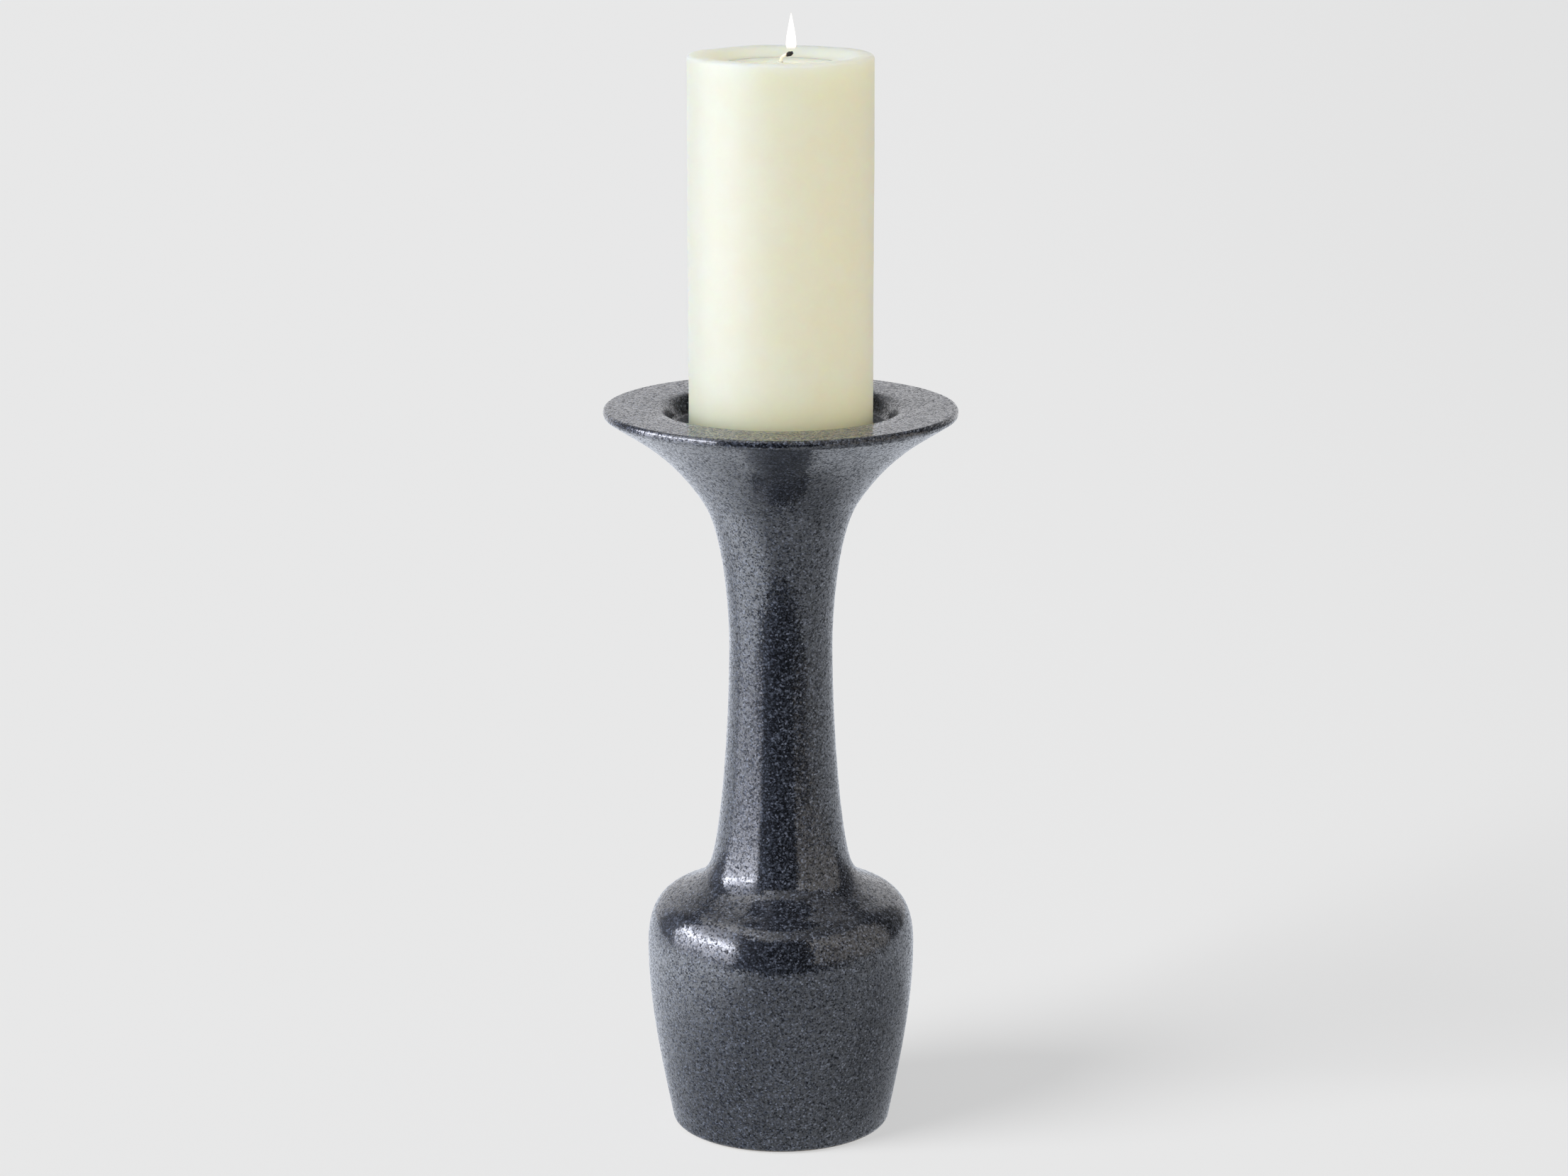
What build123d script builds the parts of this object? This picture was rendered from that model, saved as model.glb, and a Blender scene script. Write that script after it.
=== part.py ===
"""Pillar candle holder: a hollow slip-cast stoneware stand with a flared dish, and the pillar candle in it.

All sizes are millimetres. The origin is on the table under the middle of the foot, and +Z is up.
Each round piece is a half-section in the XZ plane, drawn as (radius, height) and revolved about Z.
Angles are headings in that plane: 0 points outwards, 90 points up and 180 points at the axis.
"""

import os

from build123d import *

# Holder: foot and side
PAD_PROUD = 0.5  # the felt pads keep the fired foot this far off the table
FOOT_RADIUS = 43.05
HEEL_RADIUS = 2.4
HEEL_ANGLE = 78.5
BELLY = Vector(55.4, 77.5)  # widest place of the base

# Holder: shoulder and neck
SHOULDER_END = Vector(41.6, 101.2)  # the round shoulder becomes a short straight slope here
SHOULDER_ANGLE = 150.7
SLOPE_LENGTH = 6.3
FILLET_RADIUS = 15.0
NECK_ANGLE = 112.6
THROAT = Vector(21.2, 206.6)  # narrowest place of the neck

# Holder: flare, rim and dish
FLARE = Vector(31.75, 266.0)  # the neck's slow curve becomes the round flare here
FLARE_ANGLE = 57.5
FLARE_RADIUS = 92.3
DISH_ANGLE = 32.4  # slope of the dish's straight underside
HOLDER_HEIGHT = 305.0
RIM_RADIUS = 72.0
RIM_LOWER_EDGE = 1.8
RIM_UPPER_EDGE = 1.4
CREST = Vector(50.6, 304.7)  # the level dish turns down to the candle's seat here
CREST_ANGLE = 184.0
SEAT_RADIUS = 43.0
SEAT_HEIGHT = 297.0

# Holder: wall and underside
WALL = 5.5
RING_INNER_RADIUS = 36.0
RECESS_RADIUS = 34.5
RECESS_HEIGHT = 3.0
DRAIN_RADIUS = 11.0
DRAIN_EDGE = 1.2
FLOOR_RADIUS = 36.0  # the level floor inside the base
FLOOR_CORNER = 6.0
ROOF_CORNER = 3.0

# Felt pads
PAD_COUNT = 4
PAD_RADIUS = 6.0
PAD_CIRCLE = 26.0
PAD_EDGE = 0.4

# Candle: a pillar of 75 mm by 150 mm
CANDLE_RADIUS = 37.4
CANDLE_HEIGHT = 150.5
CANDLE_FOOT_EDGE = 1.0
CANDLE_RIM_EDGE = 1.6
MELT_RADIUS = 33.0  # the ring of level wax ends here
POOL_RADIUS = 20.0
POOL_DEPTH = 4.2

# Wick and its metal tab
WICK_RADIUS = 1.05
WICK_BEND_RADIUS = 3.2
WICK_BEND_RISE = 2.4  # the bend's corner stands this far above the molten wax
WICK_TIP_REACH = 4.9
WICK_TIP_RISE = 4.65
WICK_TIP_EDGE = 0.4
TAB_SINK = 0.6  # the tab sits this far up inside the candle's base
TAB_RADIUS = 10.0
TAB_THICKNESS = 0.4
TAB_NECK_RADIUS = 2.0
TAB_NECK_HEIGHT = 6.0

CANDLE_TOP = SEAT_HEIGHT + CANDLE_HEIGHT
POOL_HEIGHT = CANDLE_TOP - POOL_DEPTH
TAB_BOTTOM = SEAT_HEIGHT + TAB_SINK
TAB_TOP = TAB_BOTTOM + TAB_THICKNESS
TAB_NECK_TOP = TAB_TOP + TAB_NECK_HEIGHT

OUT, UP, IN = 0, 90, 180


def step(angle, length=1.0):
    """A step of this length along a heading."""
    return Vector(length, 0).rotate(Axis.Z, angle)


def ease(start, start_angle, start_pull, end, end_angle, end_pull):
    """A smooth curve that leaves start and reaches end along these headings, pulled along each this far."""
    return Bezier(start, start + step(start_angle, start_pull), end - step(end_angle, end_pull), end)


def inside(point, angle):
    """The point one wall's thickness in from a point of the outside, where the outside has this heading."""
    return point + step(angle + 90, WALL)


# The holder's outside, from the axis under the foot round to the axis on the candle's seat
with BuildSketch(Plane.XZ) as outside:
    with BuildLine():
        foot = Polyline(
            (0, RECESS_HEIGHT),
            (RECESS_RADIUS, RECESS_HEIGHT),
            (RING_INNER_RADIUS, PAD_PROUD),
            (FOOT_RADIUS, PAD_PROUD),
        )
        heel = JernArc(foot @ 1, step(OUT), HEEL_RADIUS, HEEL_ANGLE)
        ease(heel @ 1, HEEL_ANGLE, 36.3, BELLY, UP, 20.5)
        ease(BELLY, UP, 21.4, SHOULDER_END, SHOULDER_ANGLE, 3.8)
        slope = Line(SHOULDER_END, SHOULDER_END + step(SHOULDER_ANGLE, SLOPE_LENGTH))
        neck_fillet = JernArc(slope @ 1, step(SHOULDER_ANGLE), FILLET_RADIUS, NECK_ANGLE - SHOULDER_ANGLE)
        ease(neck_fillet @ 1, NECK_ANGLE, 12.5, THROAT, UP, 34.2)
        ease(THROAT, UP, 5.9, FLARE, FLARE_ANGLE, 17.7)
        flare = JernArc(FLARE, step(FLARE_ANGLE), FLARE_RADIUS, DISH_ANGLE - FLARE_ANGLE)
        underside_reach = RIM_RADIUS - RIM_LOWER_EDGE * (1 - step(DISH_ANGLE).Y) - (flare @ 1).X
        underside = Line(flare @ 1, (flare @ 1) + step(DISH_ANGLE, underside_reach / step(DISH_ANGLE).X))
        lower_edge = JernArc(underside @ 1, step(DISH_ANGLE), RIM_LOWER_EDGE, UP - DISH_ANGLE)
        rim = Line(lower_edge @ 1, (RIM_RADIUS, HOLDER_HEIGHT - RIM_UPPER_EDGE))
        upper_edge = JernArc(rim @ 1, step(UP), RIM_UPPER_EDGE, IN - UP)
        ease(upper_edge @ 1, IN, 5.0, CREST, CREST_ANGLE, 5.0)
        seat_wall = ease(CREST, CREST_ANGLE, 5.5, Vector(SEAT_RADIUS, SEAT_HEIGHT), IN, 4.0)
        Polyline(seat_wall @ 1, (0, SEAT_HEIGHT), (0, RECESS_HEIGHT))
    make_face()

# The drained casting's inside keeps one wall's thickness from the outside, up to a roof under the seat
with BuildSketch(Plane.XZ) as cavity:
    with BuildLine():
        floor = Line((0, RECESS_HEIGHT + WALL), (FLOOR_RADIUS, RECESS_HEIGHT + WALL))
        floor_corner = JernArc(floor @ 1, step(OUT), FLOOR_CORNER, HEEL_ANGLE)
        inner_side = ease(floor_corner @ 1, HEEL_ANGLE, 25.0, inside(BELLY, UP), UP, 20.5)
        inner_shoulder_end = inside(SHOULDER_END, SHOULDER_ANGLE)
        ease(inner_side @ 1, UP, 16.5, inner_shoulder_end, SHOULDER_ANGLE, 3.0)
        inner_slope = Line(inner_shoulder_end, inner_shoulder_end + step(SHOULDER_ANGLE, SLOPE_LENGTH))
        inner_fillet = JernArc(
            inner_slope @ 1, step(SHOULDER_ANGLE), FILLET_RADIUS + WALL, NECK_ANGLE - SHOULDER_ANGLE
        )
        ease(inner_fillet @ 1, NECK_ANGLE, 12.5, inside(THROAT, UP), UP, 34.2)
        ease(inside(THROAT, UP), UP, 5.9, inside(FLARE, FLARE_ANGLE), FLARE_ANGLE, 19.5)
        inner_flare = JernArc(
            inside(FLARE, FLARE_ANGLE), step(FLARE_ANGLE), FLARE_RADIUS + WALL, DISH_ANGLE - FLARE_ANGLE
        )
        Polyline(inner_flare @ 1, (0, (inner_flare @ 1).Y), floor @ 0)
    make_face()
    Rectangle(RIM_RADIUS, SEAT_HEIGHT - WALL, align=(Align.MIN, Align.MIN), mode=Mode.INTERSECT)
    fillet(cavity.vertices().group_by(Axis.Y)[-1].sort_by(Axis.X)[-1], ROOF_CORNER)

with BuildPart() as holder_body:
    with BuildSketch(Plane.XZ) as wall:
        add(outside.sketch_local)
        add(cavity.sketch_local, mode=Mode.SUBTRACT)
        Rectangle(DRAIN_RADIUS, 2 * WALL, align=(Align.MIN, Align.MIN), mode=Mode.SUBTRACT)
        fillet(wall.vertices().group_by(Axis.X)[1], DRAIN_EDGE)
    revolve(axis=Axis.Z)

with BuildPart() as candle_wax:
    with BuildSketch(Plane.XZ):
        with BuildLine():
            base = Polyline(
                (WICK_RADIUS, TAB_NECK_TOP),
                (TAB_NECK_RADIUS, TAB_NECK_TOP),
                (TAB_NECK_RADIUS, TAB_TOP),
                (TAB_RADIUS, TAB_TOP),
                (TAB_RADIUS, SEAT_HEIGHT),
                (CANDLE_RADIUS - CANDLE_FOOT_EDGE, SEAT_HEIGHT),
            )
            foot_edge = JernArc(base @ 1, step(OUT), CANDLE_FOOT_EDGE, UP)
            wax_side = Line(foot_edge @ 1, (CANDLE_RADIUS, CANDLE_TOP - CANDLE_RIM_EDGE))
            rim_edge = JernArc(wax_side @ 1, step(UP), CANDLE_RIM_EDGE, IN - UP)
            level_ring = Line(rim_edge @ 1, (MELT_RADIUS, CANDLE_TOP))
            melt = ease(level_ring @ 1, IN, 5.0, Vector(POOL_RADIUS, POOL_HEIGHT), IN, 5.0)
            Polyline(melt @ 1, (WICK_RADIUS, POOL_HEIGHT), base @ 0)
        make_face()
    revolve(axis=Axis.Z)

with BuildPart() as wick:
    with BuildLine(Plane.XZ) as wick_path:
        FilletPolyline(
            (0, TAB_BOTTOM),
            (0, POOL_HEIGHT + WICK_BEND_RISE),
            (WICK_TIP_REACH, POOL_HEIGHT + WICK_TIP_RISE),
            radius=WICK_BEND_RADIUS,
        )
    with BuildSketch(Plane.XY.offset(TAB_BOTTOM)):
        Circle(WICK_RADIUS)
    sweep(path=wick_path.wires()[0])
    fillet(wick.faces().filter_by(GeomType.PLANE).sort_by(Axis.Z)[-1].edges(), WICK_TIP_EDGE)

with BuildPart() as wick_tab:
    with BuildSketch(Plane.XZ):
        Polygon(
            (WICK_RADIUS, TAB_BOTTOM),
            (TAB_RADIUS, TAB_BOTTOM),
            (TAB_RADIUS, TAB_TOP),
            (TAB_NECK_RADIUS, TAB_TOP),
            (TAB_NECK_RADIUS, TAB_NECK_TOP),
            (WICK_RADIUS, TAB_NECK_TOP),
            align=None,
        )
    revolve(axis=Axis.Z)

pieces = {"holder_body": holder_body, "candle_wax": candle_wax, "wick": wick, "wick_tab": wick_tab}

# Felt pads stuck in the foot's recess
for number, place in enumerate(PolarLocations(PAD_CIRCLE, PAD_COUNT, start_angle=45), start=1):
    with BuildPart() as felt_pad:
        with BuildSketch(Plane.XY):
            with Locations(place.position):
                Circle(PAD_RADIUS)
        extrude(amount=RECESS_HEIGHT)
        fillet(felt_pad.edges().group_by(Axis.Z)[0], PAD_EDGE)
    pieces[f"felt_pad_{number}"] = felt_pad

os.makedirs("parts", exist_ok=True)
for name, piece in pieces.items():
    piece.part.label = name
    export_step(piece.part, f"parts/{name}.step")
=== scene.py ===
"""The looks of the pillar candle holder: speckled glaze, translucent wax, a charred wick and its small flame.

Everything is in metres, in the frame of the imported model: +Z up, the origin on the table under the foot.
"""

import math

import bmesh
import bpy
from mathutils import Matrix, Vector, noise


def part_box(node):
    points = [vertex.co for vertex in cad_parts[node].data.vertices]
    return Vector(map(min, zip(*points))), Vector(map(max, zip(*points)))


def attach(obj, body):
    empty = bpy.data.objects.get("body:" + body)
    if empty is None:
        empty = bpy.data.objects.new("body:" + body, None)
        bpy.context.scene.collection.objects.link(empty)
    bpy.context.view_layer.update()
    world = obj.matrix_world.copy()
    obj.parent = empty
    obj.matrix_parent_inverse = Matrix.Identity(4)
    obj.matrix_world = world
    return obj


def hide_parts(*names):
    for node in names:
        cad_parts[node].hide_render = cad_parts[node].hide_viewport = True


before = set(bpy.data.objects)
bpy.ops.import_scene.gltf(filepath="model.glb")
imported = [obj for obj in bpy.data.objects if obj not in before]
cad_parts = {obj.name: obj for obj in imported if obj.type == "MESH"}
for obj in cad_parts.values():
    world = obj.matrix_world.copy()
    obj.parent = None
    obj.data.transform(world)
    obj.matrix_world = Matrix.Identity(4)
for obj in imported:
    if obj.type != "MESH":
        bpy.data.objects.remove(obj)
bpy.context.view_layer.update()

MM = 0.001

# Camera
CAMERA_AIM = Vector((0.0013, 0.0, 0.2293))
CAMERA_DISTANCE = 1.6433
CAMERA_TILT = math.radians(13.517)
FOCAL_LENGTH = 92.07  # millimetres
SENSOR_WIDTH = 36.0  # millimetres

# Studio: a round seamless cove. An azimuth is in degrees from the camera's side, positive to its right
COVE_FLOOR_RADIUS = 2.2
COVE_BEND_RADIUS = 0.9
COVE_WALL_TOP = 2.6
WORLD_LIGHT = 0.20
PAPER_WHITE = 0.735  # the paper glows by up to this much, less what its own sun gives it, so that it stays even and its shadows pale
PAPER_ALBEDO = 0.35
PAPER_SUN = (-62, 30, 3.4)  # azimuth, elevation and strength
PAPER_SUN_ANGLE = 36
SUNS = (  # name, azimuth, elevation, angle across, strength and colour
    ("key_left", -60, 20, 48, 1.72, (0.89, 0.975, 1.16)),
    ("fill_back", -135, 20, 50, 0.95, (0.96, 1.0, 1.05)),
    ("fill_front", 8, 16, 60, 0.96, (1.02, 0.995, 0.95)),
    ("fill_right", 80, 20, 60, 1.1, (1.06, 0.99, 0.88)),
    ("fill_top", 180, 70, 60, 0.22, (0.97, 0.99, 1.04)),
)

# Cards that only the gloss mirrors: their distances from the axis, and how strongly they shine
SIDE_CARD_RADIUS = 0.85
BACKDROP_RADIUS = 1.4
TABLE_RADIUS = 1.45
TABLE_HEIGHT = 0.0005
CEILING_RADIUS = 1.3
CEILING_HEIGHT = 1.5
SOFTBOX_GLOW = (  # height and strength
    (0.0, 1.7), (0.04, 2.5), (0.09, 4.4), (0.2, 6.2), (0.27, 7.0), (0.33, 12.0), (0.38, 16.0), (0.46, 16.0),
    (0.56, 8.5), (0.66, 4.8), (0.8, 3.8), (1.0, 3.0), (1.5, 2.6),
)
CEILING_GLOW = (  # distance to the right and strength
    (-1.3, 3.0), (-0.8, 3.0), (-0.35, 2.1), (-0.1, 1.15), (0.1, 0.9), (0.4, 0.6), (0.8, 0.4), (1.3, 0.4),
)
PANEL_GLOW = 0.90
BACKDROP_GLOW = 0.92
TABLE_GLOW = 0.91

# Glaze: the sizes of its grains, in millimetres
SAND_GRAIN = 0.52
GRIT_GRAIN = 0.68
POLISH_GRAIN = 0.64
FLECK_SPACING = 1.7
BARE_FOOT = 0.9  # the glaze is wiped off below about this height

# Candle, in millimetres: the wick leans over to +X, and the flame stands on its tip
wax_low, wax_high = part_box("candle_wax")
tab_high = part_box("wick_tab")[1]
CANDLE_FOOT = wax_low.z / MM
CANDLE_TOP = wax_high.z / MM
CANDLE_RADIUS = wax_high.x / MM
FOOT_ROUND = 1.0
RIM_ROUND = 1.5
WICK_HOLE = 1.05
TAB_RECESS_RADIUS = tab_high.x / MM
TAB_RECESS_TOP = CANDLE_FOOT + 1.0
TAB_NECK_RADIUS = 2.0
TAB_NECK_TOP = tab_high.z / MM
HOLLOW_LEVEL = CANDLE_TOP - 4.2  # the solid wax under the molten wax
POOL_LEVEL = CANDLE_TOP - 3.9
WICK_ROUTE = (
    (0.0, 297.8), (0.0, 380.0), (0.0, 441.0), (0.0, 445.9), (1.3, 446.6), (3.1, 447.3), (4.9, 447.95),
)
CHAR_START = 2.45  # the wick is burnt black from here along X
SWELLING_START = 2.2  # the burnt end swells between these two places along X
SWELLING_END = 3.4
STRAND_RADIUS = 0.46
BRAID_PITCH = 3.6
BRAID_WIDTH = 0.42
BRAID_DEPTH = 0.24
FLAME_X = 4.1
FLAME_LIGHT_HEIGHT = 456.0
FLAME_OUTLINE = (  # radius and height
    (0.0, 448.8), (1.05, 449.0), (1.65, 449.5), (1.9, 450.3), (2.0, 451.3), (1.95, 452.6), (1.78, 454.2),
    (1.54, 455.8), (1.25, 457.4), (0.95, 459.0), (0.66, 460.6), (0.4, 462.0), (0.18, 463.0), (0.0, 463.7),
)


class Nodes:
    """A material's or the world's node tree, built up by short calls that return an output socket."""

    def __init__(self, tree):
        self.tree = tree
        tree.nodes.clear()

    def add(self, kind, inputs=(), **settings):
        node = self.tree.nodes.new(kind)
        for name, value in settings.items():
            setattr(node, name, value)
        for key, value in dict(inputs).items():
            self.feed(node.inputs[key], value)
        return node

    def feed(self, socket, value):
        if isinstance(value, bpy.types.NodeSocket):
            self.tree.links.new(value, socket)
        else:
            socket.default_value = value

    def math(self, operation, *values, clamp=False):
        node = self.add("ShaderNodeMath", enumerate(values), operation=operation, use_clamp=clamp)
        return node.outputs[0]

    def between(self, value, low, high):
        """0 at low and 1 at high, with a smooth step from one to the other."""
        inputs = {"Value": value, "From Min": low, "From Max": high}
        return self.add("ShaderNodeMapRange", inputs, interpolation_type="SMOOTHSTEP").outputs["Result"]

    def mix(self, share, first, second):
        node = self.add("ShaderNodeMix", data_type="RGBA")
        for key, value in (("Factor", share), ("A", first), ("B", second)):
            self.feed(next(s for s in node.inputs if s.name == key and s.enabled), value)
        return next(s for s in node.outputs if s.enabled)

    def place(self):
        """Where a point is in the object's own coordinates, in metres."""
        return self.add("ShaderNodeTexCoord").outputs["Object"]

    def axis(self, where, name):
        return self.add("ShaderNodeSeparateXYZ", {"Vector": where}).outputs[name]

    def vector(self, operation, *values):
        return self.add("ShaderNodeVectorMath", enumerate(values), operation=operation).outputs["Vector"]

    def noise(self, where, size, detail=2.0):
        """Noise from 0 to 1 whose lumps are about this size, in metres."""
        inputs = {"Vector": where, "Scale": 1 / size, "Detail": detail}
        return self.add("ShaderNodeTexNoise", inputs).outputs["Fac"]

    def cells(self, where, size):
        """Cells of this size, each with its own colour."""
        return self.add("ShaderNodeTexVoronoi", {"Vector": where, "Scale": 1 / size})

    def grains(self, where, size):
        """Sharp-edged grains of this size packed side by side, each with its own value from 0 to 1."""
        color = self.cells(where, size).outputs["Color"]
        return self.add("ShaderNodeSeparateColor", {"Color": color}).outputs["Red"]

    def flecks(self, where, spacing, smallest, largest, share):
        """Round flecks in a share of the cells of this spacing, with radii given as parts of the spacing."""
        cells = self.cells(where, spacing)
        random = self.add("ShaderNodeSeparateColor", {"Color": cells.outputs["Color"]})
        radius = self.math("MULTIPLY_ADD", random.outputs["Red"], largest - smallest, smallest)
        edge = self.math("SUBTRACT", radius, cells.outputs["Distance"])
        round_spot = self.between(edge, 0.0, 0.35 * largest)
        kept = self.math("LESS_THAN", random.outputs["Green"], share)
        bright = self.math("MULTIPLY_ADD", random.outputs["Blue"], 0.6, 0.4)
        return self.math("MULTIPLY", self.math("MULTIPLY", round_spot, kept), bright)


def new_material(name):
    material = bpy.data.materials.new(name)
    material.use_nodes = True
    return material, Nodes(material.node_tree)


def finish_material(nodes, shader):
    nodes.add("ShaderNodeOutputMaterial", {"Surface": shader.outputs[0]})


def bump(nodes, height, distance, strength=1.0, normal=None):
    inputs = {"Height": height, "Distance": distance, "Strength": strength}
    if normal is not None:
        inputs["Normal"] = normal
    return nodes.add("ShaderNodeBump", inputs).outputs["Normal"]


def towards(azimuth, elevation=0.0):
    """The direction from the object at an azimuth and an elevation in degrees."""
    a, e = math.radians(azimuth), math.radians(elevation)
    return Vector((math.sin(a) * math.cos(e), -math.cos(a) * math.cos(e), math.sin(e)))


# ---------------------------------------------------------------- materials


def speckled_glaze():
    """Dark blue-grey gloss glaze over stoneware, with dense pale grains in it; the foot ring is bare clay."""
    material, n = new_material("speckled_glaze")
    where = n.place()

    cloud = n.between(n.noise(where, 28 * MM, 3.0), 0.35, 0.65)
    dark = n.mix(cloud, (0.0012, 0.0016, 0.0026, 1), (0.0022, 0.0027, 0.0040, 1))
    sand = n.math("POWER", n.grains(where, SAND_GRAIN * MM), 4.0)
    grit = n.math("POWER", n.grains(where, GRIT_GRAIN * MM), 9.0)
    flecks = n.flecks(where, FLECK_SPACING * MM, smallest=0.08, largest=0.17, share=0.18)
    speckled = n.mix(sand, dark, (0.058, 0.067, 0.090, 1))
    speckled = n.mix(grit, speckled, (0.150, 0.168, 0.214, 1))
    speckled = n.mix(flecks, speckled, (0.34, 0.37, 0.43, 1))

    wiped = n.math("MULTIPLY_ADD", n.noise(where, 9 * MM), 0.8 * MM, BARE_FOOT * MM)
    bare = n.math("LESS_THAN", n.axis(where, "Z"), wiped)
    clay = n.mix(n.noise(where, 2 * MM, 6.0), (0.30, 0.26, 0.21, 1), (0.42, 0.37, 0.31, 1))

    # The grains lie under the gloss: each takes the polish differently and tilts the gloss over it slightly
    ripple = bump(n, n.noise(where, 7 * MM, 1.0), 0.06 * MM)
    peel = bump(n, n.noise(where, 0.8 * MM, 1.0), 0.014 * MM, 1.0, ripple)
    facets = n.cells(where, POLISH_GRAIN * MM).outputs["Color"]
    tilt = n.vector("SUBTRACT", facets, (0.5, 0.5, 0.5))
    gloss = n.vector("NORMALIZE", n.vector("MULTIPLY_ADD", tilt, (0.07, 0.07, 0.07), peel))
    polish = n.math("MULTIPLY_ADD", n.grains(where, POLISH_GRAIN * MM), 1.65, -0.03, clamp=True)
    shader = n.add(
        "ShaderNodeBsdfPrincipled",
        {
            "Base Color": n.mix(bare, speckled, clay),
            "Roughness": n.mix(bare, (0.45, 0.45, 0.45, 1), (0.9, 0.9, 0.9, 1)),
            "Normal": bump(n, sand, 0.02 * MM, 1.0, ripple),
            "Coat Weight": n.math("MULTIPLY", n.math("SUBTRACT", 1.0, bare), polish),
            "Coat Roughness": 0.08,
            "Coat IOR": 1.66,
            "Coat Normal": gloss,
            "Specular IOR Level": 0.12,
        },
    )
    finish_material(n, shader)
    return material


def candle_wax():
    """Ivory wax that light soaks into, faintly mottled and pitted, with a painted warm shade that makes it
    yellower near its foot.
    """
    material, n = new_material("candle_wax")
    where = n.place()
    mottle = n.noise(where, 11 * MM, 4.0)
    color = n.mix(n.between(mottle, 0.3, 0.7), (0.94, 0.885, 0.685, 1), (0.95, 0.900, 0.715, 1))
    height = n.math("MULTIPLY_ADD", mottle, 4 * MM, n.axis(where, "Z"))
    # Painted warm shade: the wax is yellower and darker near its foot, where the dish shades it.
    clear_of_foot_shade = n.between(height, (CANDLE_FOOT - 4) * MM, (CANDLE_FOOT + 30) * MM)
    color = n.mix(clear_of_foot_shade, (0.945, 0.815, 0.48, 1), color)
    pits = n.noise(where, 1.6 * MM, 3.0)
    shader = n.add(
        "ShaderNodeBsdfPrincipled",
        {
            "Base Color": color,
            "Roughness": n.math("MULTIPLY_ADD", mottle, 0.08, 0.54),
            "Normal": bump(n, pits, 0.04 * MM, 0.5),
            "Subsurface Weight": 1.0,
            "Subsurface Radius": (1.0, 0.75, 0.40),
            "Subsurface Scale": 24 * MM,
            "Specular IOR Level": 0.42,
        },
    )
    finish_material(n, shader)
    return material


def molten_wax():
    """The clear, wet wax round the wick."""
    material, n = new_material("molten_wax")
    where = n.place()
    swirl = n.noise(where, 6 * MM)
    shader = n.add(
        "ShaderNodeBsdfPrincipled",
        {
            "Base Color": n.mix(swirl, (0.93, 0.89, 0.68, 1), (0.95, 0.92, 0.74, 1)),
            "Roughness": 0.04,
            "Normal": bump(n, swirl, 0.05 * MM, 0.3),
            "Subsurface Weight": 1.0,
            "Subsurface Radius": (1.0, 0.75, 0.40),
            "Subsurface Scale": 20 * MM,
        },
    )
    finish_material(n, shader)
    return material


def wick_cotton():
    """Cotton soaked pale with wax, scorched brown and then burnt black at the tip."""
    material, n = new_material("wick_cotton")
    where = n.place()
    weave = n.noise(where, 0.35 * MM, 3.0)
    ragged = n.math("MULTIPLY_ADD", weave, 0.9 * MM, n.axis(where, "X"))
    soaked = n.mix(weave, (0.84, 0.80, 0.64, 1), (0.92, 0.89, 0.75, 1))
    burnt = n.mix(weave, (0.004, 0.0035, 0.003, 1), (0.018, 0.015, 0.013, 1))
    scorching = n.between(ragged, (CHAR_START - 0.1) * MM, (CHAR_START + 0.35) * MM)
    burning = n.between(ragged, (CHAR_START + 0.3) * MM, (CHAR_START + 0.55) * MM)
    color = n.mix(burning, n.mix(scorching, soaked, (0.22, 0.15, 0.09, 1)), burnt)
    shader = n.add(
        "ShaderNodeBsdfPrincipled",
        {"Base Color": color, "Roughness": 0.8, "Normal": bump(n, weave, 0.08 * MM)},
    )
    finish_material(n, shader)
    return material


def candle_flame():
    """White in its middle, warmer at the tip and clear where it leaves the wick."""
    material, n = new_material("candle_flame")
    where = n.place()
    flicker = n.math("MULTIPLY_ADD", n.noise(where, 3 * MM), 1.2 * MM, n.axis(where, "Z"))
    low = FLAME_OUTLINE[0][1] * MM
    high = FLAME_OUTLINE[-1][1] * MM
    risen = n.between(flicker, low, low + 4 * MM)
    color = n.mix(risen, (1.0, 0.86, 0.74, 1), (1.0, 0.985, 0.93, 1))
    color = n.mix(n.between(flicker, high - 4 * MM, high + MM), color, (1.0, 0.94, 0.78, 1))
    strength = n.math("MULTIPLY_ADD", risen, 0.7, 1.0)
    glow = n.add("ShaderNodeEmission", {"Color": color, "Strength": strength})
    clear = n.add("ShaderNodeBsdfTransparent")
    body = n.between(flicker, low + 0.5 * MM, low + 3.0 * MM)
    finish_material(n, n.add("ShaderNodeMixShader", {0: body, 1: clear.outputs[0], 2: glow.outputs[0]}))
    material.cycles.emission_sampling = "NONE"
    return material


def pressed_steel():
    """Thin tinned steel, dull and slightly grainy."""
    material, n = new_material("wick_tab_steel")
    where = n.place()
    grain = n.noise(where, 0.6 * MM, 4.0)
    color = n.mix(grain, (0.50, 0.50, 0.51, 1), (0.66, 0.66, 0.67, 1))
    shader = n.add(
        "ShaderNodeBsdfPrincipled",
        {
            "Base Color": color,
            "Metallic": 1.0,
            "Roughness": n.math("MULTIPLY_ADD", grain, 0.2, 0.25),
            "Normal": bump(n, grain, 0.02 * MM),
        },
    )
    finish_material(n, shader)
    return material


def black_felt():
    """Matt felt, with the fuzz of its fibres."""
    material, n = new_material("felt")
    where = n.place()
    fibre = n.noise(where, 0.35 * MM, 5.0)
    color = n.mix(fibre, (0.02, 0.019, 0.018, 1), (0.085, 0.08, 0.075, 1))
    shader = n.add(
        "ShaderNodeBsdfPrincipled",
        {
            "Base Color": color,
            "Roughness": 0.95,
            "Sheen Weight": 0.5,
            "Sheen Roughness": 0.5,
            "Normal": bump(n, fibre, 0.3 * MM),
        },
    )
    finish_material(n, shader)
    return material


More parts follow.
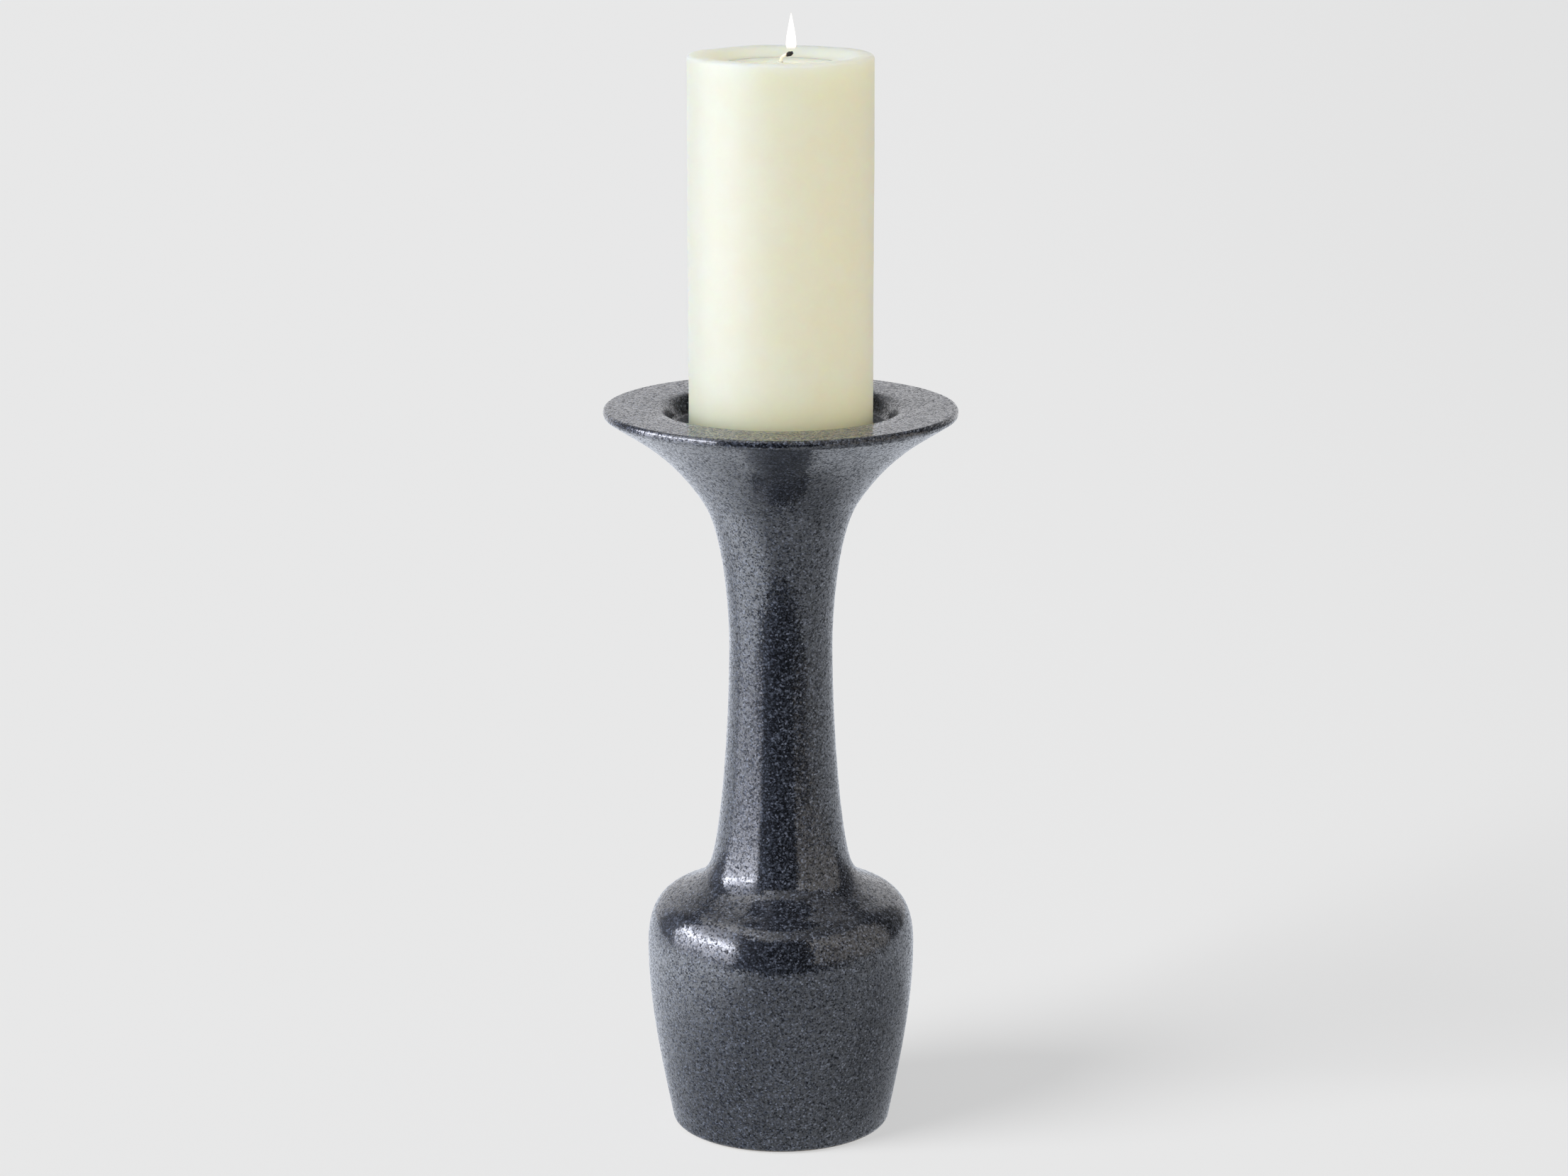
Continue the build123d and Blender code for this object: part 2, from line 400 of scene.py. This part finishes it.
def seamless_paper():
    """Pale paper that shines by as much as its own sun leaves it short of one even white, with a little
    painted shade towards its right.
    """
    material, n = new_material("seamless_paper")
    where = n.place()
    tone = n.noise(where, 0.6)
    color = n.mix(tone, (PAPER_ALBEDO, PAPER_ALBEDO, PAPER_ALBEDO, 1), (0.355, 0.355, 0.355, 1))
    azimuth, elevation, strength = PAPER_SUN
    facing = n.add("ShaderNodeNewGeometry").outputs["Normal"]
    inputs = {0: facing, 1: towards(azimuth, elevation)}
    slant = n.add("ShaderNodeVectorMath", inputs, operation="DOT_PRODUCT").outputs["Value"]
    sunlight = n.math("MULTIPLY", n.math("MAXIMUM", slant, 0.0), PAPER_ALBEDO * strength / math.pi)
    # Painted shade: the glow is a little weaker towards +X, which darkens the paper's right side.
    right = n.between(n.axis(where, "X"), 0.0, 0.9)
    glow = n.math("SUBTRACT", n.math("MULTIPLY_ADD", right, -0.04, PAPER_WHITE), sunlight)
    shader = n.add(
        "ShaderNodeBsdfPrincipled",
        {
            "Base Color": color,
            "Roughness": 0.95,
            "Specular IOR Level": 0.0,
            "Emission Color": (1.0, 1.0, 1.0, 1),
            "Emission Strength": glow,
        },
    )
    finish_material(n, shader)
    return material


# ---------------------------------------------------------------- geometry


def step(value, low, high):
    """0 at low and 1 at high, with a smooth step from one to the other."""
    share = min(max((value - low) / (high - low), 0.0), 1.0)
    return share * share * (3 - 2 * share)


def along(value, points):
    """The value of a curve given by its points, straight between them."""
    for (x0, y0), (x1, y1) in zip(points, points[1:]):
        if value <= x1:
            return y0 + (y1 - y0) * max(value - x0, 0.0) / (x1 - x0)
    return points[-1][1]


def span(low, high, count):
    """Evenly spaced values from low to high."""
    return [low + (high - low) * k / (count - 1) for k in range(count)]


def mesh_data(name, mesh):
    """The finished mesh as Blender's data."""
    data = bpy.data.meshes.new(name)
    mesh.to_mesh(data)
    mesh.free()
    return data


def new_object(name, data):
    thing = bpy.data.objects.new(name, data)
    bpy.context.scene.collection.objects.link(thing)
    return thing


def new_piece(name, data, material, sharp=None):
    """A smooth piece, with its edges left sharp above an angle in degrees."""
    data.materials.append(material)
    data.shade_smooth()
    if sharp is not None:
        data.set_sharp_from_angle(angle=math.radians(sharp))
    return new_object(name, data)


def lathe(name, outline, steps, material, closed=False, shape=None, sharp=None):
    """A surface of revolution about Z through the points of an outline, given as (radius, height).

    A closed outline makes a solid ring, and shape(point) may move each point of the surface a little.
    """
    mesh = bmesh.new()
    rings = []
    for radius, height in outline:
        turns = (2 * math.pi * k / steps for k in range(steps if radius > 1e-9 else 1))
        ring = [Vector((radius * math.cos(t), radius * math.sin(t), height)) for t in turns]
        rings.append([mesh.verts.new(shape(p) if shape else p) for p in ring])
    pairs = list(zip(rings, rings[1:]))
    if closed:
        pairs.append((rings[-1], rings[0]))
    for lower, upper in pairs:
        for k in range(steps):
            j = (k + 1) % steps
            corners = [lower[k % len(lower)], lower[j % len(lower)]]
            corners += [upper[j % len(upper)], upper[k % len(upper)]]
            mesh.faces.new(list(dict.fromkeys(corners)))
    bmesh.ops.recalc_face_normals(mesh, faces=mesh.faces)
    return new_piece(name, mesh_data(name, mesh), material, sharp)


def arc(center, radius, start, end, count):
    """Points on an arc in the (radius, height) plane, with its angles in degrees."""
    angles = [math.radians(a) for a in span(start, end, count)]
    return [(center[0] + radius * math.cos(a), center[1] + radius * math.sin(a)) for a in angles]


def bezier(points, count):
    """Points on a cubic curve from its four control points in the (radius, height) plane."""
    curve = []
    for t in span(0.0, 1.0, count):
        weights = ((1 - t) ** 3, 3 * t * (1 - t) ** 2, 3 * t * t * (1 - t), t**3)
        curve.append(tuple(sum(w * point[i] for w, point in zip(weights, points)) for i in (0, 1)))
    return curve


def in_metres(outline):
    return [(r * MM, z * MM) for r, z in outline]


# ---------------------------------------------------------------- the object


def belongs(piece, slot, body, *nodes):
    """Attaches a piece to the body that it moves with and hides the solids that it stands for; the slot is
    not used.
    """
    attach(piece, body)
    if nodes:
        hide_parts(*nodes)


def dress_cad_nodes():
    """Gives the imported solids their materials. The solids that pieces replace aren't shown."""
    looks = {"holder_body": speckled_glaze(), "wick_tab": pressed_steel()}
    felt = black_felt()
    for name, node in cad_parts.items():
        node.material_slots[0].material = looks.get(name, felt)


def slumped(point):
    """A point of the wax, moved as warm wax settles: the rim sags unevenly and the sides wave slightly."""
    turn = Vector((point.x, point.y, 0.0)).normalized()
    warmth = step(point.z, CANDLE_TOP * MM - 0.012, CANDLE_TOP * MM)
    outer = step(point.xy.length, 0.021, 0.033)
    sag = 0.45 * MM * (0.5 + noise.noise(2.3 * turn + Vector((0, 0, 7)))) * warmth * outer
    sag += 0.12 * MM * noise.noise(9 * turn + Vector((3, 1, 0))) * warmth * outer
    risen = step(point.z, (CANDLE_FOOT + 1) * MM, (CANDLE_FOOT + 12) * MM)
    wave = 0.16 * MM * noise.noise(38 * point) * risen * outer
    return point + wave * turn - Vector((0, 0, max(sag, 0.0)))


def make_wax():
    """The pillar, with a rounded rim, a hollow melted round the wick and a recess for the wick's tab."""
    base, top = CANDLE_FOOT, CANDLE_TOP
    outline = [(WICK_HOLE, TAB_NECK_TOP), (TAB_NECK_RADIUS, TAB_NECK_TOP), (TAB_NECK_RADIUS, TAB_RECESS_TOP)]
    outline += [(TAB_RECESS_RADIUS, TAB_RECESS_TOP), (TAB_RECESS_RADIUS, base)]
    outline += [(r, base) for r in span(12.0, CANDLE_RADIUS - FOOT_ROUND, 6)][:-1]
    outline += arc((CANDLE_RADIUS - FOOT_ROUND, base + FOOT_ROUND), FOOT_ROUND, -90, 0, 6)[:-1]
    outline += [(CANDLE_RADIUS, z) for z in span(base + FOOT_ROUND, top - RIM_ROUND, 42)]
    outline += arc((CANDLE_RADIUS - RIM_ROUND, top - RIM_ROUND), RIM_ROUND, 0, 90, 10)[1:]
    outline += bezier(((33.5, top), (28.5, top), (25.0, HOLLOW_LEVEL), (20.0, HOLLOW_LEVEL)), 22)
    outline += [(12.0, HOLLOW_LEVEL), (5.0, HOLLOW_LEVEL), (WICK_HOLE, HOLLOW_LEVEL)]
    wax = lathe("pillar_wax", in_metres(outline), 192, candle_wax(), closed=True, shape=slumped, sharp=50)
    belongs(wax, "candle_wax", "candle", "candle_wax")


def make_pool():
    """The molten wax, which creeps up the wick and thins out at its shore."""
    climbs = ((1.0, 0.65), (1.25, 0.38), (1.7, 0.18), (2.6, 0.05))
    flat = tuple((r, 0.0) for r in (4.0, 8.0, 12.0, 16.0, 19.0))
    shore = ((21.0, 0.03), (22.2, 0.09), (23.2, 0.12))
    outline = [(r, POOL_LEVEL + rise) for r, rise in climbs + flat + shore]
    belongs(lathe("melt_pool", in_metres(outline), 96, molten_wax()), "candle_wax", "candle")


def tube(mesh, points, radii, sides, normal):
    """A closed tube through the points; normal is a direction that is never along it."""
    rings = []
    for k, point in enumerate(points):
        along_it = points[min(k + 1, len(points) - 1)] - points[max(k - 1, 0)]
        across = along_it.cross(normal).normalized()
        upward = across.cross(along_it).normalized()
        turns = [2 * math.pi * i / sides for i in range(sides)]
        ring = [point + radii[k] * (math.cos(t) * across + math.sin(t) * upward) for t in turns]
        rings.append([mesh.verts.new(corner) for corner in ring])
    for lower, upper in zip(rings, rings[1:]):
        for i in range(sides):
            j = (i + 1) % sides
            mesh.faces.new((lower[i], lower[j], upper[j], upper[i]))
    mesh.faces.new(rings[0][::-1])
    mesh.faces.new(rings[-1])


def line_along(route, spacing):
    """Points, in metres, read from the NURBS line that has the route's points as its control points."""
    curve = bpy.data.curves.new("route", "CURVE")
    curve.dimensions = "3D"
    curve.resolution_u = 300
    spline = curve.splines.new("NURBS")
    spline.points.add(len(route) - 1)
    for point, (x, z) in zip(spline.points, route):
        point.co = (x * MM, 0.0, z * MM, 1.0)
    spline.order_u = 3
    spline.use_endpoint_u = True
    carrier = bpy.data.objects.new("route", curve)
    line = bpy.data.meshes.new_from_object(carrier)
    points = []
    for vertex in line.vertices:
        if not points or (vertex.co - points[-1]).length > spacing:
            points.append(vertex.co.copy())
    bpy.data.objects.remove(carrier)
    bpy.data.curves.remove(curve)
    bpy.data.meshes.remove(line)
    return points


def make_wick():
    """Three cotton strands plaited together, with the burnt end swollen and ragged."""
    route = line_along(WICK_ROUTE, 0.27 * MM)
    sideways = Vector((0.0, 1.0, 0.0))
    mesh = bmesh.new()
    for strand in range(3):
        points, radii = [], []
        length = 0.0
        for k, point in enumerate(route):
            ahead = route[min(k + 1, len(route) - 1)] - route[max(k - 1, 0)]
            across = ahead.cross(sideways).normalized()
            length += (point - route[k - 1]).length if k else 0.0
            phase = 2 * math.pi * (length / (BRAID_PITCH * MM) + strand / 3)
            burnt = step(point.x, SWELLING_START * MM, SWELLING_END * MM)
            swollen = 1 + 0.42 * burnt
            ragged = 1 + 0.18 * noise.noise(1400 * point + Vector((strand, 0, 0))) * burnt
            narrowed = 1 - 0.45 * step(k, len(route) - 4, len(route) - 1)
            offset = BRAID_WIDTH * math.sin(phase) * sideways + BRAID_DEPTH * math.sin(2 * phase) * across
            points.append(point + swollen * offset * MM)
            radii.append(STRAND_RADIUS * MM * swollen * ragged * narrowed)
        tube(mesh, points, radii, 10, sideways)
    wick = new_piece("braided_wick", mesh_data("braided_wick", mesh), wick_cotton())
    belongs(wick, "wick_cotton", "candle", "wick")


def make_flame():
    """The small flame on the wick's tip, which casts no shadow, and the light that it sheds."""
    aside = Vector((FLAME_X * MM, 0.0, 0.0))
    flame = lathe("flame", in_metres(FLAME_OUTLINE), 32, candle_flame(), shape=lambda point: point + aside)
    flame.visible_shadow = False
    belongs(flame, None, "candle")

    data = bpy.data.lights.new("flame_light", "POINT")
    data.energy = 0.004
    data.color = (1.0, 0.88, 0.70)
    data.shadow_soft_size = 2.5 * MM
    light = new_object("flame_light", data)
    light.location = aside + Vector((0.0, 0.0, FLAME_LIGHT_HEIGHT * MM))
    light.visible_camera = False
    light.visible_glossy = False


dress_cad_nodes()
make_wax()
make_pool()
make_wick()
make_flame()

# ---------------------------------------------------------------- camera, studio and lights


def add_camera():
    camera = new_object("camera", bpy.data.cameras.new("camera"))
    camera.data.sensor_width = SENSOR_WIDTH
    camera.data.lens = FOCAL_LENGTH
    back = Vector((0.0, -math.cos(CAMERA_TILT), math.sin(CAMERA_TILT)))
    camera.location = CAMERA_AIM + CAMERA_DISTANCE * back
    camera.rotation_euler = (math.pi / 2 - CAMERA_TILT, 0.0, 0.0)
    bpy.context.scene.camera = camera


def add_cove():
    """The seamless paper that the camera sees. Gloss mirrors the cards below in its place."""
    outline = [(0.0, 0.0), (0.3, 0.0), (0.9, 0.0)]
    outline += arc((COVE_FLOOR_RADIUS, COVE_BEND_RADIUS), COVE_BEND_RADIUS, -90, 0, 16)
    outline.append((COVE_FLOOR_RADIUS + COVE_BEND_RADIUS, COVE_WALL_TOP))
    cove = lathe("studio_cove", outline, 96, seamless_paper())
    cove.visible_glossy = cove.visible_diffuse = cove.visible_shadow = False
    return cove


def only_cove(name, cove, state):
    """A collection that makes a light shine on nothing but the cove, or on everything but the cove."""
    linked = bpy.data.collections.new(name)
    linked.objects.link(cove)
    linked.collection_objects[0].light_linking.link_state = state
    return linked


def add_sun(name, azimuth, elevation, angle, strength, color, receivers):
    """Broad soft light on the matt surfaces among its receivers, which the gloss doesn't mirror."""
    data = bpy.data.lights.new(name, "SUN")
    data.angle = math.radians(angle)
    data.energy = strength
    data.color = color
    light = new_object(name, data)
    light.rotation_euler = (-towards(azimuth, elevation)).to_track_quat("-Z", "Y").to_euler()
    light.visible_glossy = False
    light.light_linking.receiver_collection = receivers


def light_world():
    """Even light from all round on matt surfaces, which the gloss doesn't mirror."""
    world = bpy.data.worlds.new("studio")
    bpy.context.scene.world = world
    world.use_nodes = True
    n = Nodes(world.node_tree)
    sky = n.add("ShaderNodeBackground", {"Color": (0.97, 0.98, 1.0, 1), "Strength": WORLD_LIGHT})
    n.add("ShaderNodeOutputWorld", {"Surface": sky.outputs[0]})
    world.cycles_visibility.glossy = False


def add_card(name, us, vs, place, glow, tint):
    """A card seen only in reflections: a grid of points place(u, v) that shine by glow(u, v)."""
    data = bpy.data.meshes.new(name)
    corners = [(i, j) for i in range(len(us)) for j in range(len(vs))]
    rows = len(vs)
    faces = [
        (i * rows + j, (i + 1) * rows + j, (i + 1) * rows + j + 1, i * rows + j + 1)
        for i in range(len(us) - 1)
        for j in range(rows - 1)
    ]
    data.from_pydata([tuple(place(us[i], vs[j])) for i, j in corners], [], faces)
    shine = data.attributes.new("shine", "FLOAT", "POINT")
    for index, (i, j) in enumerate(corners):
        shine.data[index].value = glow(us[i], vs[j])

    material, n = new_material(name)
    amount = n.add("ShaderNodeAttribute", attribute_name="shine").outputs["Fac"]
    finish_material(n, n.add("ShaderNodeEmission", {"Color": (*tint, 1), "Strength": amount}))
    material.cycles.emission_sampling = "NONE"
    data.materials.append(material)
    card = new_object(name, data)
    card.visible_camera = card.visible_diffuse = card.visible_shadow = card.visible_transmission = False


def upright(radius):
    """Places on a cylinder round the object, by azimuth and height."""
    return lambda azimuth, height: radius * towards(azimuth) + Vector((0.0, 0.0, height))


def level(height):
    """Places on a level disc, by radius and azimuth."""
    return lambda radius, azimuth: radius * towards(azimuth) + Vector((0.0, 0.0, height))


def softbox_glow(azimuth, height):
    """Brightest behind the middle of the cloth, dim below and above, with the near edge slightly soft."""
    power = along(height, SOFTBOX_GLOW)
    soft = 41 + 30 * max(height - 0.3, 0.0)
    return power * step(azimuth, -106, -98) * step(-azimuth, 36, soft)


def panel_glow(azimuth, height):
    """Dim and even, a little brighter high up towards the camera's side."""
    lift = 0.5 * step(height, 0.25, 0.6) * step(-azimuth, -75, -45)
    return (PANEL_GLOW + lift) * step(azimuth, 27, 30) * step(-azimuth, -110, -102) * step(height, 0.03, 0.05)


def backdrop_glow(azimuth, height):
    """A paper roll behind the table: even low down, dim higher up, brighter at its left."""
    left = step(azimuth, 180, 225)
    bright = BACKDROP_GLOW + 0.27 * left + 0.08 * step(-azimuth, -180, -140)
    edges = step(azimuth, 132, 150) * step(-azimuth, -236, -214)
    return bright * (0.10 + 0.90 * edges) * (1 - 0.45 * step(height, 0.8, 1.05))


def table_glow(radius, azimuth):
    """The table: bright where the softbox falls on its left, with the object's shadow on its right, painted
    shade round the foot and a little less light far back.
    """
    x, y = towards(azimuth).xy * radius
    sheen = 1.85 * step(-x, 0.05, 0.32) * step(-y, -0.35, 0.1)
    # Painted shade: the table is darker round the object's foot and far at the back.
    painted_foot_shade = 0.88 + 0.12 * step(radius, 0.05, 0.11)
    shade = 1 - 0.45 * step(x, 0.02, 0.06) * step(-x, -0.34, -0.14) * step(-abs(y - 0.02), -0.13, -0.05)
    far_painted_shade = 1 - 0.12 * step(y, 0.5, 1.1)
    bright = TABLE_GLOW + 0.45 * step(-x, 0.03, 0.3) + sheen
    return bright * painted_foot_shade * shade * far_painted_shade * step(y, -0.47, -0.40)


def ceiling_glow(radius, azimuth):
    """Brighter on the softbox's side, and dim at the back there."""
    x, y = towards(azimuth).xy * radius
    return along(x, CEILING_GLOW) * (1 - 0.68 * step(y, 0.0, 0.95) * step(-x, 0.0, 0.3))


add_camera()
cove = add_cove()
light_world()
azimuth, elevation, strength = PAPER_SUN
lit_paper = only_cove("lit_paper", cove, "INCLUDE")
add_sun("paper_light", azimuth, elevation, PAPER_SUN_ANGLE, strength, (1.0, 1.0, 1.0), lit_paper)
not_paper = only_cove("not_paper", cove, "EXCLUDE")
for sun in SUNS:
    add_sun(*sun, not_paper)

sides = upright(SIDE_CARD_RADIUS)
add_card("left_softbox", span(-106, -36, 36), span(0, 1.5, 51), sides, softbox_glow, (0.96, 0.985, 1.11))
add_card("right_panel", span(27, 118, 46), span(0.03, 0.95, 24), sides, panel_glow, (1.05, 1.0, 0.96))
behind = upright(BACKDROP_RADIUS)
add_card("backdrop", span(118, 254, 35), span(0, 1.3, 14), behind, backdrop_glow, (1.0, 1.0, 1.03))
near_foot = [0.0, 0.03, 0.06, 0.08, 0.10, 0.13, 0.16, 0.2, 0.25, 0.3, 0.35]
rings = near_foot + span(0.40, TABLE_RADIUS, 43)
add_card("table_top", rings, span(-180, 180, 121), level(TABLE_HEIGHT), table_glow, (0.95, 1.0, 1.09))
rings = span(0.0, CEILING_RADIUS, 14)
add_card("ceiling", rings, span(-180, 180, 37), level(CEILING_HEIGHT), ceiling_glow, (1.0, 1.0, 1.03))

bpy.context.scene.view_settings.view_transform = "Standard"
